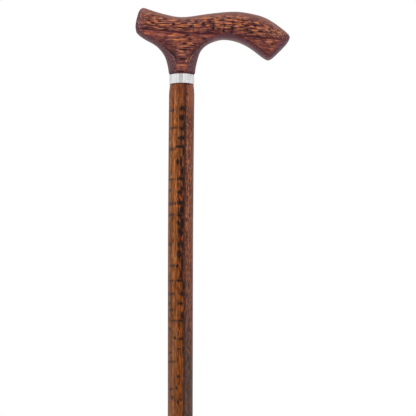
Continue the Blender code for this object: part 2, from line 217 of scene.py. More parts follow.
class Recipe:
    """A node tree in the making, with short calls for the nodes that a look is mixed from."""

    def __init__(self, tree):
        self.tree = tree

    def give(self, socket, value):
        """Links a value to a socket, or sets the socket where the value is constant."""
        if isinstance(value, Value):
            self.tree.links.new(value.socket, socket)
        else:
            socket.default_value = paint(*value) if socket.type == "RGBA" else value

    def add(self, kind, *values, **settings):
        """A node with these settings and, in order, these values in its inputs (None skips one)."""
        node = self.tree.nodes.new(kind)
        for setting, choice in settings.items():
            setattr(node, setting, choice)
        sockets = [socket for socket in node.inputs if socket.enabled]
        for socket, value in zip(sockets, values):
            for part in value if isinstance(value, list) else [value]:
                if part is not None:
                    self.give(socket, part)
        return Value(self, next(socket for socket in node.outputs if socket.enabled))

    def sum(self, operation, *values):
        return self.add("ShaderNodeMath", *values, operation=operation)

    def vector_sum(self, operation, *values):
        return self.add("ShaderNodeVectorMath", *values, operation=operation)

    def join(self, x, y, z):
        return self.add("ShaderNodeCombineXYZ", x, y, z)

    def split(self, vector):
        parts = self.add("ShaderNodeSeparateXYZ", vector).socket.node.outputs
        return [Value(self, part) for part in parts]

    def most(self, value, *others):
        for other in others:
            value = self.sum("MAXIMUM", value, other)
        return value

    def noise(self, point, size, detail=2.0, roughness=0.5, seed=0.0):
        """Noise from 0 to 1 whose grains measure about this size along x, y and z."""
        place = self.vector_sum("DIVIDE", point, size)
        return self.add("ShaderNodeTexNoise", place, seed, 1.0, detail, roughness, noise_dimensions="4D")

    def waver(self, point, size, **grains):
        """The same noise, from -0.5 to 0.5."""
        return self.noise(point, size, **grains) - 0.5

    def patches(self, point, size, **grains):
        """The same noise, spread so that it often reaches 0 and 1."""
        return self.ramp(self.noise(point, size, **grains), 0.36, 0.64)

    def ramp(self, value, low, high, start=0.0, end=1.0):
        """Goes softly from start to end while the value goes from low to high."""
        ends = (low, high, start, end)
        return self.add("ShaderNodeMapRange", value, *ends, interpolation_type="SMOOTHSTEP")

    def fade(self, value, low, high, start=1.0):
        """Goes softly from start to 0 while the value goes from low to high."""
        return self.ramp(value, low, high, start, 0.0)

    def line(self, away, core, rim):
        """1 on a line, as far as its core on each side, and 0 from its rim outwards."""
        return self.fade(abs(away), core, rim)

    def level_off(self, share):
        """Rises from 0 and levels off at 1, where the share reaches 1."""
        return self.sum("SINE", self.sum("MINIMUM", share, 1.0) * (math.pi / 2))

    def mix(self, amount, low, high):
        """A colour between low and high."""
        return self.add("ShaderNodeMix", amount, low, high, data_type="RGBA")

    def read(self, value, stops):
        """What the value reads from stops (place, painted colour), with places from 0 to 1."""
        reading = self.add("ShaderNodeValToRGB", value)
        elements = reading.socket.node.color_ramp.elements
        while len(elements) < len(stops):
            elements.new(1.0)
        for element, (place, colour) in zip(elements, stops):
            element.position = place
            element.color = colour
        return reading

    def colours(self, value, *stops):
        """A colour read from stops (place, colour)."""
        return self.read(value, [(place, paint(*colour)) for place, colour in stops])

    def curve(self, value, *stops):
        """A number read from stops (place, number), straight between them."""
        first = stops[0][0]
        reach = stops[-1][0] - first
        least = min(number for _, number in stops)
        span = max(number for _, number in stops) - least
        greys = [((place - first) / reach, ((number - least) / span,) * 4) for place, number in stops]
        return self.read((value - first) / reach, greys) * span + least

    def nearness(self, point, marks):
        """1 at the middle of the nearest oval mark, 0 on its rim and below 0 beyond it.

        Each mark is its place along x and z, then half its size each way.
        """
        nearest = None
        for x, z, half_x, half_z in marks:
            offset = self.vector_sum("SUBTRACT", point, (x, 0.0, z))
            offset = self.vector_sum("MULTIPLY", offset, (1 / half_x, 0.0, 1 / half_z))
            reach = self.vector_sum("LENGTH", offset)
            nearest = self.sum("MINIMUM", nearest, reach) if nearest else reach
        return 1.0 - nearest

    def seen(self):
        """1 to the camera, straight, mirrored or through glass, and 0 where this only gives light."""
        path = self.tree.nodes.new("ShaderNodeLightPath")
        kinds = ("Camera", "Glossy", "Transmission")
        return self.most(*(Value(self, path.outputs[f"Is {kind} Ray"]) for kind in kinds))


class Finish(Recipe):
    """A material in the making. Its point is the place on the object in millimetres."""

    def __init__(self, name):
        self.material = bpy.data.materials.new(name)
        self.material.use_nodes = True
        super().__init__(self.material.node_tree)
        self.surface = self.tree.nodes["Principled BSDF"]
        self.coordinates = self.tree.nodes.new("ShaderNodeTexCoord")
        metres = Value(self, self.coordinates.outputs["Object"])
        self.point = self.vector_sum("DIVIDE", metres, (MM, MM, MM))
        self.x, self.y, self.z = self.split(self.point)

    def normal(self):
        return self.split(Value(self, self.coordinates.outputs["Normal"]))

    def bump(self, height, depth):
        """Bump of this depth in metres where the height goes from 0 to 1."""
        self.set(Normal=self.add("ShaderNodeBump", None, depth, None, height))

    def set(self, **looks):
        """Sets the surface's own sockets, named with _ for each space."""
        for name, value in looks.items():
            self.give(self.surface.inputs[name.replace("_", " ")], value)
        return self.material


class Wood(Finish):
    """Wood in the making: its colour so far, over which each step lays the next shade."""

    def lay(self, amount, shade):
        """Lays a shade over the colour so far: none of it at 0, and nothing else at 1."""
        self.colour = self.mix(amount, self.colour, shade)

    def stain_unevenly(self, size, seed, cool, warm):
        """Multiplies the colour so far by a tint from cool to warm, in patches of this size."""
        patches = self.patches(self.point, size, detail=1.5, roughness=0.6, seed=seed)
        tint = self.add("ShaderNodeMix", patches, cool, warm, data_type="VECTOR")
        self.colour = self.vector_sum("MULTIPLY", self.colour, tint)

    def spots(self, place, marks, raggedness, low, high):
        """How strongly the nearest mark shows, with a ragged rim that fades from high to low."""
        return self.ramp(self.nearness(place, marks) + self.ragged * raggedness, low, high)

    def varnished(self, roughness):
        return self.set(Base_Color=self.colour, Roughness=roughness, Specular_IOR_Level=0.12)


def stick_bow(recipe, drop):
    """How far the stick's middle lies to the nose side, this far below its shoulder."""
    fading = recipe.fade(drop, BOW_BOTTOM, SHOULDER - SHAFT_LOW.z, SHAFT_BOW)
    return recipe.level_off(drop / BOW_TOP) * fading


# Finishes

# Places on the handle's side are in millimetres along from the shaft's axis and up from
# the neck's foot. A mark is its place along and up, then half its size each way

# Dark pore clusters
HANDLE_MARKS = (
    (-32.4, 42.4, 1.6, 0.7), (-24.6, 43.6, 1.6, 0.9), (-18.2, 45.1, 2, 0.8), (-13.4, 47, 2, 0.7),
    (-6.5, 42.7, 1.3, 1.5), (-14.2, 37.6, 2, 0.8), (1, 43.1, 1.8, 0.7), (6, 45.6, 2, 0.8),
    (8.1, 40.5, 1.5, 0.9), (12.7, 44.7, 1.3, 0.9), (18.6, 42.9, 1.3, 1.2), (24.2, 45, 1.2, 0.9),
    (27.2, 39, 1.1, 1.5), (36.4, 36.4, 1.2, 1.4), (37, 41.6, 1.6, 0.7), (40.8, 47.6, 2.2, 0.7),
    (43.6, 38.4, 1.5, 1.6), (43.2, 34.8, 1.1, 1.4), (52.6, 45.7, 1.4, 1), (55.2, 41, 1.3, 0.8),
    (51, 39.1, 1.6, 0.7), (56.2, 37.2, 1.2, 1.2), (60, 35, 1.7, 0.9), (62.9, 40.4, 1.3, 1.1),
    (67.1, 35.6, 2.2, 0.9), (75.3, 37.8, 1.4, 1), (76.9, 35.2, 1.5, 0.8), (66, 31.6, 2, 0.6),
    (1.6, 12.1, 3.6, 1), (-0.2, 1.2, 3.6, 1), (2, 20.2, 4.4, 0.6), (3, 25.4, 2, 0.6),
    (-3.6, 30.2, 2.4, 0.6), (4.4, 32.6, 2.4, 0.6), (7.1, 28.8, 1.8, 0.6), (8.3, 24, 1.6, 0.5),
    (30.9, 48.1, 1.6, 0.6), (65.5, 47.2, 1.5, 0.6), (67.2, 43.3, 1.3, 0.7), (51.7, 43.5, 1.4, 0.6),
    (59.5, 38.8, 1.2, 0.8), (22.5, 36.2, 1.3, 0.6), (-24.1, 50.5, 1.5, 0.6), (-1, 39.5, 2.4, 0.5),
    (-1.1, 46.3, 1.8, 0.5), (77.6, 24.3, 1.2, 0.5), (72.4, 32.6, 1.4, 0.4), (37, 37.9, 1.6, 0.5),
)

# Softer dark patches: darker wood, and painted shade under the nose and the grip
HANDLE_SHADOWS = (
    (-32.5, 34.3, 1.4, 4.4), (-24.5, 30.8, 3.2, 2.8), (-18.5, 27.8, 3, 2.6), (-12, 24.4, 3, 2.8),
    (-8.2, 19.4, 2.8, 3.8), (-5.6, 14.8, 2, 4), (-9, 27.4, 2.2, 2.2), (-28.8, 47.4, 4.2, 1.3),
    (-29, 38.4, 3.6, 1.6), (10.1, 39.5, 0.9, 4.4), (14, 32.6, 2.4, 5), (16.5, 24.5, 2.6, 4),
    (11.5, 19.3, 2.2, 3.6), (20.5, 29, 3.8, 2.4), (27.9, 42.5, 1, 4), (36.5, 38.3, 0.9, 3.4),
    (43.9, 41, 1, 6), (57.8, 29, 1.8, 3), (70, 19.8, 4, 1.2), (28.5, 28.4, 5.5, 1.5),
    (25, 44.2, 1, 2), (35.7, 46.4, 1, 1.3), (60.5, 45.4, 1.1, 1.3), (72, 17.2, 3.6, 0.9),
    (65, 22.2, 1.6, 1.6), (12, 23.6, 1.6, 3.2), (71, 29.6, 4, 0.9), (14.6, 27.6, 2.4, 2),
    (-5.4, 21.4, 1.6, 2), (40.5, 34.6, 5.4, 1.2), (-22, 32, 2, 1.2), (50.4, 36.4, 2.4, 0.8),
    (-5.4, 39.6, 2.4, 0.8), (37, 38.5, 2.4, 0.7), (-33.4, 48, 1.6, 1.2),
)

# Patches where the stain is thinner and the wood shows orange
HANDLE_GLOWS = (
    (-16.5, 33.2, 4.2, 2.2), (-27.6, 34.4, 2.6, 1.4), (0.6, 28.6, 8, 2.2), (78, 20.6, 3, 2.2),
    (64, 34.8, 5, 2.4), (72.9, 38.8, 3.4, 3), (51, 43, 5, 3), (-5.6, 34, 2.6, 1.4),
    (30, 42.6, 3, 1.6), (73.6, 34.2, 3.6, 2), (58.6, 40.6, 2.6, 1.2), (2.8, 47.2, 2.6, 1.2),
    (-20.4, 39, 2.4, 2.4), (60, 37.2, 1.8, 0.8), (75, 26.6, 5, 2.4), (66, 27.4, 3.4, 1.6),
)

# Long light lines of the grain
HANDLE_LIGHT_LINES = (
    (-29.5, 44.2, 4.2, 0.5), (-29.9, 48.1, 2, 0.6), (-28.2, 51.9, 3.2, 0.6), (-23.4, 47.9, 1.6, 0.8),
    (-17.1, 47.9, 1.8, 0.7), (-7.4, 45.9, 4.6, 0.7), (-1.8, 43.5, 4, 0.5), (-15.2, 42, 5.2, 0.5),
    (0.2, 40.8, 6.4, 0.4), (11.6, 42.2, 2.8, 0.5), (10, 44.2, 1.8, 0.5), (-17.1, 38.6, 2.8, 0.5),
    (-2, 38.3, 3, 0.4), (6.9, 43.6, 2, 0.5), (21.6, 48, 5, 0.7), (31.8, 49.6, 3, 0.6),
    (30.1, 46.7, 2.8, 0.6), (29.7, 44.4, 2.8, 0.5), (31, 41.6, 2.4, 0.5), (35.7, 39.6, 6.8, 0.5),
    (22.2, 41.2, 2, 0.8), (40.2, 49.2, 3.4, 0.6), (40.2, 46, 3.6, 0.6), (40.3, 43, 4, 0.5),
    (48.8, 49, 1.8, 0.8), (55.3, 47.9, 2.8, 0.6), (48.4, 41.1, 2.6, 0.5), (49.8, 38.1, 4, 0.5),
    (56.4, 44, 2.6, 0.6), (-9.6, 42.3, 1.8, 0.5), (62, 36.6, 3.6, 0.6), (60, 39.9, 2.2, 0.5),
    (63.8, 43.8, 2.8, 0.6), (66.8, 38.6, 3, 0.6), (67, 34, 3, 0.5), (75, 17.9, 2, 0.5),
    (81.5, 27.6, 1.6, 0.6), (-8.7, 32.4, 4.2, 0.6), (-5.9, 29.1, 7.4, 0.5), (7.7, 26, 2, 0.6),
    (1.3, 23.2, 4.6, 0.6), (-0.3, 18.8, 2.8, 0.5), (0.9, 15.8, 3.8, 0.6), (0.3, 6.8, 3.8, 0.6),
    (8.3, 14.2, 1.2, 1.2), (6.4, 12.3, 1.2, 1.2), (4.6, 10.5, 1.2, 1.2), (80.8, 37.4, 2.2, 0.5),
    (79.6, 33.2, 2.4, 0.6), (73.9, 36.9, 2, 0.5), (84.5, 34.8, 1.8, 0.6), (20, 45.2, 2.4, 0.6),
    (-21.6, 39.6, 2.2, 0.5), (74.6, 26.8, 3, 0.5),
)

# Top line of the grip, and the growth ring that crosses its side, low at the tail
GRIP_TOP_LINE = (
    (-40, 58), (-31, 58.2), (-12, 52.3), (1, 50.5), (17, 52.4), (37, 54.7), (50, 54.9), (63, 52.8),
    (76, 48), (89, 38.6), (95, 32),
)
GROWTH_RING = (
    (-42, 40.3), (-23, 37.5), (3, 34.7), (29, 34.1), (42, 33.6), (54, 32.2), (69, 30.4), (80, 29.1),
    (95, 29.8),
)

# Large marks: the eye that the grain closes round, the lively grain over the neck,
# and the throat under the grip, darkened with painted shade
GRAIN_EYE = (83, 36.3, 13, 7.5)
NECK_FIGURE = (2, 20, 15, 22)
THROAT_SHADE = (1, 15, 22, 15)

# The end faces: how far each lies from the neck's foot, and how much it faces along and
# up. Then how far the front side lies from the handle's middle
NOSE_FACE = (46.52, -1, 0.19)
TAIL_FACE = (51.1, 0.777, -0.629)
HANDLE_FRONT = 12


class HandleWood(Wood):
    """Stained open-pored wood, its grain along the grip, darker where the grain ends, with painted shade,
    sheen and highlights where its surface turns and under the grip.
    """

    def __init__(self):
        super().__init__("handle_wood_stain")
        self.height = self.z - NECK_BOTTOM / MM
        self.side_place = self.join(self.x, 0, self.height)
        self.inward = self.y + HANDLE_FRONT
        self.under_top = self.curve(self.x, *GRIP_TOP_LINE) - self.height
        self.wander = self.waver(self.point, (45, 30, 20), detail=1)
        self.ragged = self.waver(self.point, (1.6, 1.6, 1.1), roughness=0.6, seed=6)
        self.speckle = self.waver(self.point, (0.8, 0.8, 1.5), roughness=0.65, seed=12)

        # The grain runs along the growth ring and closes round a small eye at the tail
        self.ring = self.height - self.curve(self.x, *GROWTH_RING) + self.inward * 0.3 + self.wander * 1.5
        self.above = self.ramp(self.ring, -0.2, 1)
        self.eye = self.nearness(self.side_place, (GRAIN_EYE,))
        level = self.ring + self.wander * 2.5 + self.ramp(self.eye, 0, 1, 0, 4.5)
        self.grain = self.join(self.x + self.wander * 12, self.y, level)

        # Which way the surface faces, and how much more to nose or tail than where its
        # end grain starts to show
        nx, self.ny, self.nz = self.normal()
        limit = self.ramp(self.height, 12, 24, 0.42, 0.50)
        limit = limit - self.ramp(self.x, 0, 3) * self.fade(self.height, 8, 22, 0.14)
        self.facing = abs(nx + self.ny * 0.1) - limit + self.speckle * 0.06
        self.from_side = self.ramp(abs(self.ny), 0.05, 0.45, 0.3, 1)

    def stain_side_and_shade_throat(self):
        """Lively above the growth ring, over the neck and at the tail, and calm elsewhere, with painted
        shade in the throat under the grip.
        """
        fine = self.noise(self.grain, (3.6, 0.9, 0.6), detail=1, seed=2)
        lines = self.noise(self.grain, (15, 3, 0.9), detail=1, roughness=0.6, seed=1)
        cloudy = self.waver(self.point, (9, 8, 5), detail=1, seed=14)
        lift = self.ramp(self.eye, 0, 1, 0, 0.04) + self.line(self.under_top - 6, 1, 5) * 0.02
        upper = self.colours(
            self.ramp(lines * 0.6 + fine * 0.4 + cloudy * 0.12 + lift, 0.38, 0.62),
            (0, (78, 32, 36)), (0.5, (130, 70, 54)), (1, (196, 120, 84)),
        )
        dashes = self.noise(self.grain, (6.5, 1.6, 0.62), detail=1.5, roughness=0.6, seed=3)
        upper = self.mix(self.ramp(dashes + cloudy * 0.1, 0.50, 0.58) * 0.88, upper, (54, 18, 22))
        calm = self.noise(self.grain, (10, 3, 1.4), detail=2.5, roughness=0.6, seed=4)
        lower = self.colours(
            self.ramp(calm * 0.8 + fine * 0.2, 0.36, 0.66),
            (0, (74, 32, 36)), (0.35, (120, 62, 54)), (0.7, (156, 86, 64)),
            (1, (194, 116, 78)),
        )
        over_neck = self.ramp(self.nearness(self.side_place, (NECK_FIGURE,)), 0, 0.5, 0, 0.8)
        self.lively = self.most(self.above, over_neck, self.ramp(self.x, 48, 64, 0, 0.6))
        self.colour = self.mix(self.lively, lower, upper)
        # Painted shade darkens the throat under the grip
        throat = self.nearness(self.side_place, (THROAT_SHADE,))
        self.lay(self.ramp(throat, 0, 0.8, 0, 0.38), (62, 28, 34))

    def open_pores(self):
        """Small dashes all over, and each kind of mark in the places that the photo shows."""
        pores = self.noise(self.grain, (3.8, 0.9, 0.7), detail=1, seed=8)
        crowd = self.waver(self.point, (9, 7, 9), detail=1, seed=9)
        pores = pores + crowd * 0.15 + self.ramp(self.x, 0, 50, -0.03, 0.02)
        pores = self.ramp(pores, 0.59, 0.66) * self.ramp(self.lively, 0, 1, 0.35, 0.90)
        sunk = self.wander * 2 * self.inward * 0.1
        place = self.join(self.x + self.inward * 0.4, 0, self.height + sunk)
        clusters = self.spots(place, HANDLE_MARKS, 1.3, -0.35, 0.4)
        self.lay(self.spots(place, HANDLE_GLOWS, 0.8, -0.1, 0.8) * 0.4, (198, 118, 72))
        self.lay(self.spots(place, HANDLE_LIGHT_LINES, 0.9, -0.2, 0.4) * 0.58, (226, 146, 90))
        self.lay(self.line(self.ring - 2.8, 0.5, 3.5) * 0.22, (58, 28, 32))
        # Soft dark patches, partly darker wood and partly painted shade under the nose and the grip
        self.lay(self.spots(place, HANDLE_SHADOWS, 1.2, -0.4, 0.6) * 0.62, (50, 28, 32))
        self.lay(self.most(pores, clusters * 0.95), (26, 12, 18))
        self.lay(self.line(self.ring, 0.35, 1.2) * 0.85, (52, 16, 28))
        self.stain_unevenly((3, 2.4, 1.6), 15, (0.86, 0.90, 1.36), (1.09, 0.98, 0.76))
        self.bump(1 - self.most(pores, clusters), 0.00010)

    def stain_and_shade_borders(self):
        """Darker rounded borders below, partly stain that gathers there and partly painted shade, with a
        dark line of painted shade at the tail's lower one, and a painted sheen and grey painted reflection
        along the top.
        """
        low_side = self.fade(self.height, 34, 42)
        # Painted shade where the lower borders turn away, warmer towards the tail
        turning = self.most(self.ramp(self.facing, -0.38, -0.02), self.ramp(abs(self.ny), 0.96, 0.74))
        self.lay(turning * low_side * 0.24, (94, 52, 58))
        self.lay(turning * low_side * self.ramp(self.x, 18, 30) * 0.3, (130, 66, 62))
        tail_under = low_side * self.ramp(self.x, 44, 54) * self.ramp(self.nz, 0, -0.15)
        # A dark line of painted shade along the tail's lower border
        ridge = self.line(abs(self.ny) - 0.72 + self.speckle * 0.2, 0.04, 0.12)
        self.lay(ridge * tail_under * 0.6, (44, 16, 24))
        # A painted sheen just below the top edge
        painted_sheen = self.fade(self.under_top + self.ragged * 3, 3.5, 7.5, 0.16)
        self.lay(painted_sheen * self.from_side, (198, 150, 130))
        # The top painted greyer as a painted reflection, more so towards the tail
        on_top = self.ramp(self.nz, 0.05, 0.35)
        self.lay(on_top * self.ramp(self.x, 20, 40, 0.08, 0.34) * self.from_side, (102, 74, 76))
        # The borders darker below, with stain and painted shade, and lighter on top as a painted sheen
        borders = abs(self.ny) + self.speckle * 0.3 - on_top * 0.06 + tail_under * 0.12
        borders = self.ramp(borders, 0.90, 0.55) * self.from_side
        self.lay(borders * 0.68, self.mix(on_top, (104, 66, 80), (130, 92, 86)))

    def depth_behind(self, distance, along, up):
        """How deep behind an end face this lies, with a ragged edge."""
        return distance - (self.x * along + self.height * up) + self.ragged * 3

    def stain_ends_and_light_neck_sides(self):
        """Stain gathers most where the grain ends: on nose and tail, and round the neck, whose end grain
        gets painted light where it faces sideways.
        """
        nose_depth = self.depth_behind(*NOSE_FACE)
        tail_depth = self.depth_behind(*TAIL_FACE)
        self.lay(self.fade(nose_depth, 1, 6, 0.5), (128, 82, 90))
        self.lay(self.fade(tail_depth, 1, 5, 0.75), (104, 54, 66))
        tail_corner = self.ramp(tail_depth, 17, 12) * self.above * self.from_side
        corners = self.most(tail_corner, self.ramp(nose_depth, 9, 4, 0, 0.7))
        self.lay(corners * self.ramp(self.speckle, -0.01, -0.08) * 0.65, (46, 22, 26))
        self.lay(corners * self.ramp(self.speckle, 0.03, 0.10) * 0.45, (206, 146, 120))

        nose_half = self.fade(self.x, 25, 40)
        from_core = self.vector_sum("LENGTH", self.join(0, self.y - 5, self.height * 0.7 + 12))
        year_rings = self.sum("SINE", (from_core + self.wander * 8) * 2.4) * 0.035
        end_grain = self.ramp(self.speckle + year_rings, -0.16, 0.16)
        shade = self.mix(end_grain, (62, 35, 40), (126, 88, 92))
        # Painted light: the end grain lighter where the neck and nose face straight sideways
        shade = self.mix(self.ramp(abs(self.ny), 0.75, 0.3) * nose_half * 0.35, shade, (136, 98, 104))
        neck_ends = self.ramp(self.facing, -0.03, 0.05) * nose_half
        self.ends = self.most(neck_ends, self.fade(tail_depth, 0, 1.6))
        self.lay(self.ends * 0.94, shade)

    def edge_neck(self):
        """A dark edge with light flecks, painted highlights, where the neck's sides turn away, and a dark
        foot of painted shade above the collar.
        """
        neck = self.fade(self.height - self.ramp(self.x, 0, 10) * 5, 22, 28)
        neck = neck * self.ramp(self.height, 7, 14) * self.fade(self.x, 18, 26)
        self.lay(self.line(self.facing + 0.04, 0.02, 0.10) * neck * 0.75, (36, 20, 24))
        # Painted highlights: light flecks along the edge where the neck's sides turn away
        flecks = self.ramp(self.speckle, 0, 0.10) * self.line(self.facing - 0.06, 0.02, 0.06)
        self.lay(flecks * neck * 0.7, (184, 132, 104))
        # Painted shade at the neck's foot, above the collar
        self.lay(self.fade(self.height + self.ragged * 3, 0.5, 3, 0.5), (44, 20, 26))


def handle_wood():
    wood = HandleWood()
    wood.stain_side_and_shade_throat()
    wood.open_pores()
    wood.stain_and_shade_borders()
    wood.stain_ends_and_light_neck_sides()
    wood.edge_neck()
    return wood.varnished(wood.ramp(wood.ends, 0, 1, 0.40, 0.60))


# Places on the shaft are in millimetres across its front and down from the collar. A
# mark is its place across and down, then half its size each way

# Dark blotches along the heart line
SHAFT_BLOTCHES = (
    (0.9, 22.5, 2.2, 1.9), (2.6, 23, 1.2, 2.4), (0.6, 30.3, 2.5, 2.6), (2.3, 38, 1.2, 3.6),
    (0.6, 40.2, 2.1, 1.7), (1, 48, 2.5, 2.2), (-2, 48, 1, 1.4), (0.8, 55.6, 2, 1.6),
    (-1.6, 55.4, 2.4, 1.3), (2.2, 60, 0.9, 3.6), (-2.6, 69, 1.2, 2.6), (0.2, 69, 1.2, 4.6),
    (1.4, 77, 1.1, 4.4), (0.4, 83.2, 2.7, 1.5), (2.6, 85, 0.6, 6), (1.8, 91.8, 1.1, 1.8),
    (-0.4, 94.8, 2.7, 1.5), (0.2, 104, 3.4, 1.8), (0.9, 110.4, 2, 4.4), (0.2, 114.5, 2.7, 1.6),
    (-1.8, 121.3, 1.4, 1.8), (1, 122.3, 1.7, 6.6), (0.2, 129, 2.6, 3.4), (-1.4, 140.1, 1.3, 2.6),
    (1.1, 138.3, 1.7, 2.6), (-0.5, 148.6, 1.8, 3.4), (1.6, 154.6, 0.9, 12), (-2.4, 158.5, 1.3, 1.6),
    (0.9, 165.8, 1.3, 3.4), (-0.9, 170.8, 3.2, 1.1), (3.1, 175.3, 0.9, 3.4), (1.7, 182, 2.1, 2.1),
    (0.1, 190.3, 2.1, 1.3), (1.5, 200.7, 1.3, 2.6), (0.1, 205, 1.7, 1.1), (0.1, 220.2, 1.7, 1.3),
    (-4.8, 219.8, 0.9, 1.3), (2.3, 228.8, 0.7, 2.6), (-1.4, 229.2, 1.3, 0.9), (-0.9, 252.5, 1.3, 1.7),
    (-2.6, 262.1, 0.9, 1.3), (0.7, 271.9, 1.1, 1.7), (-1.9, 274.1, 0.9, 1.7), (4.6, 0.9, 2.4, 0.6),
)

# Soft grey flecks across the flat side
SHAFT_FLECKS = (
    (-8, 23.8, 3.6, 1), (-6.8, 39, 4.6, 1.2), (-9.6, 48.6, 1.6, 1.6), (-8, 57.2, 4, 1.8),
    (-8, 83.4, 4.4, 1.1), (-9.6, 92.6, 1.6, 1.8), (-7.4, 104.6, 4.4, 1.7), (-8, 114.1, 3.8, 1.3),
    (-8.6, 139.1, 2, 1.8), (-6.6, 157.9, 2.6, 1.8), (-7.4, 170.8, 3, 1.2), (-7.4, 181.8, 3.2, 1.5),
    (-8.8, 189.5, 1.6, 1.6), (-7.6, 195.6, 2.2, 1.8), (-5.2, 204.8, 4.4, 1.1), (-9, 211.7, 1.6, 1.6),
    (-8, 232, 1.8, 1.3), (-7.4, 239.6, 4, 1.1), (-7.2, 262.9, 2, 1.4), (-6.4, 270.1, 1.8, 1.8),
    (7.4, 35.3, 1.6, 0.9),
)

# The marks repeat mirrored below this length. The flat side's stripes are given as
# (place across, lightness), and the heart line goes over into the quarter side at its rim
SHAFT_PATTERN_LENGTH = 282
FLAT_SIDE_STRIPES = (
    (-10.6, 0.5), (-9.8, 0.85), (-9, 0.8), (-7.5, 0.2), (-5.8, 0.75), (-4.8, 0.5), (-3.6, 0.1),
)
HEART_RIM = (3.1, 3.8)


class ShaftWood(Wood):
    """Stained wood, its grain up the stick, with grey flecks and a black blotched heart line, and painted
    light and shade at its edges and under the collar.
    """

    def __init__(self):
        super().__init__("shaft_wood_stain")
        self.drop = COLLAR_LOW.z / MM - self.z
        self.level_x = self.x + stick_bow(self, self.drop * MM) / MM
        wander = self.waver(self.point, (14, 14, 60), detail=1.5)
        self.across = self.level_x + self.y * 0.12 + wander * 2 + 1.2
        self.ragged = self.waver(self.point, (1.2, 1.2, 2.2), detail=2.5, roughness=0.65, seed=5)
        self.beyond = self.ramp(self.across + self.ragged * 0.5, *HEART_RIM)
        self.fine = self.patches(self.point, (0.7, 0.7, 6), roughness=0.6, seed=2)

    def stain_sides(self):
        """The flat side, then the quarter side beyond the heart line, which is grey lower down."""
        broad = self.patches(self.point, (1.7, 1.7, 40), roughness=0.6, seed=3)
        stripes = self.curve(self.across + self.ragged * 0.5, *FLAT_SIDE_STRIPES)
        flat_side = self.colours(
            self.fine * 0.5 + broad * 0.27 + stripes * 0.25,
            (0, (50, 18, 8)), (0.5, (136, 78, 34)), (1, (200, 128, 78)),
        )
        paler = self.ramp(self.drop, 170, 230, 0, 0.3)
        flat_side = self.mix(paler, flat_side, self.mix(broad, (98, 62, 48), (134, 92, 72)))
        mottle = self.patches(self.point, (1.1, 1.1, 3.6), roughness=0.6, seed=4)
        quarter_side = self.colours(
            self.fine * 0.3 + broad * 0.2 + mottle * 0.5,
            (0, (56, 24, 24)), (0.45, (110, 60, 44)), (1, (184, 116, 82)),
        )
        self.colour = self.mix(self.beyond, flat_side, quarter_side)
        started = self.across + self.ramp(self.drop, 150, 220) + self.ragged * 0.5
        reached = self.across + self.ragged * 2 - self.ramp(self.drop, 210, 260, 0, 5)
        grey = self.ramp(started, *HEART_RIM) * self.ramp(reached, 5.5, 8, 1, 0.3)
        grey = grey * self.ramp(self.drop, 130, 230)
        self.lay(grey * 0.8, self.mix(self.fine, (54, 42, 40), (98, 78, 68)))

    def draw_heart(self):
        """The dark heart line down the front, which has an amber streak lower down."""
        heart = self.ramp(self.across + self.ragged * 3, -3.4, -1.2) * (1 - self.beyond)
        heart = heart * self.ramp(self.drop, 10, 120, 0.3) * self.ramp(self.drop, 180, 250, 1, 0.5)
        shade = self.colours(
            self.patches(self.point, (1.4, 1.4, 4.5), seed=6),
            (0, (22, 8, 4)), (0.5, (54, 22, 10)), (1, (164, 70, 20)),
        )
        self.lay(heart * 0.9, shade)
        amber = self.line(self.across + 0.7 - self.ragged * 1.4, 1.4, 2.5) * self.ramp(self.drop, 100, 220)
        self.lay(amber * 0.92, self.mix(self.fine, (66, 22, 0), (162, 84, 0)))
        self.lay(self.fade(self.drop, 4, 26, 0.3), (112, 44, 36))

    def add_marks(self):
        """Flecks, blotches, and a dark line along the heart's rim."""
        place = self.join(self.across, 0, self.sum("PINGPONG", self.drop, SHAFT_PATTERN_LENGTH))
        self.lay(self.spots(place, SHAFT_FLECKS, 1.2, -0.4, 0.6) * 0.7, (56, 36, 34))
        blotches = self.spots(place, SHAFT_BLOTCHES, 2, -0.55, 0.5)
        self.lay(blotches * self.ramp(self.drop, 190, 260, 0.95, 0.8), (20, 8, 8))
        rim = self.line(self.across - 3.4 + self.ragged * 0.8, 0.6, 1.4)
        self.lay(rim * self.ramp(self.drop, 60, 200, 0.8, 0.6), (48, 28, 22))
        self.bump(self.fine - blotches * 0.4, 0.00005)

    def shade_edges(self):
        """Painted light on the tail side near the top, painted shade on the outer edges, a painted shadow
        at the top under the collar, and darker lower down.
        """
        lit_edge = self.ramp(self.level_x, 5, 8) * self.fade(self.drop, 10, 34, 0.3)
        self.lay(lit_edge, (196, 128, 96))
        # Painted shade on the outer edges, where the round stick turns away
        self.lay(self.ramp(abs(self.level_x), 8.6, 10.6) * 0.4, (66, 46, 42))
        # A painted shadow at the top, under the collar
        self.lay(self.fade(self.drop + self.ragged * 1.6, 0.3, 1.5) * 0.3, (24, 12, 10))
        self.lay(self.ramp(self.drop, 80, 180, 0, 0.12), (40, 20, 14))
        self.stain_unevenly((1.5, 1.5, 5), 7, (0.86, 0.93, 1.20), (1.09, 0.99, 0.74))


def shaft_wood():
    wood = ShaftWood()
    wood.stain_sides()
    wood.draw_heart()
    wood.add_marks()
    wood.shade_edges()
    return wood.varnished(0.40)


# The collar's duller strips, painted reflections of the studio, in degrees: how far they
# are turned from the front, and the angle from one to the next
REFLECTION_STRIP_TURN = 3.5
REFLECTION_STRIP_SPACING = 90


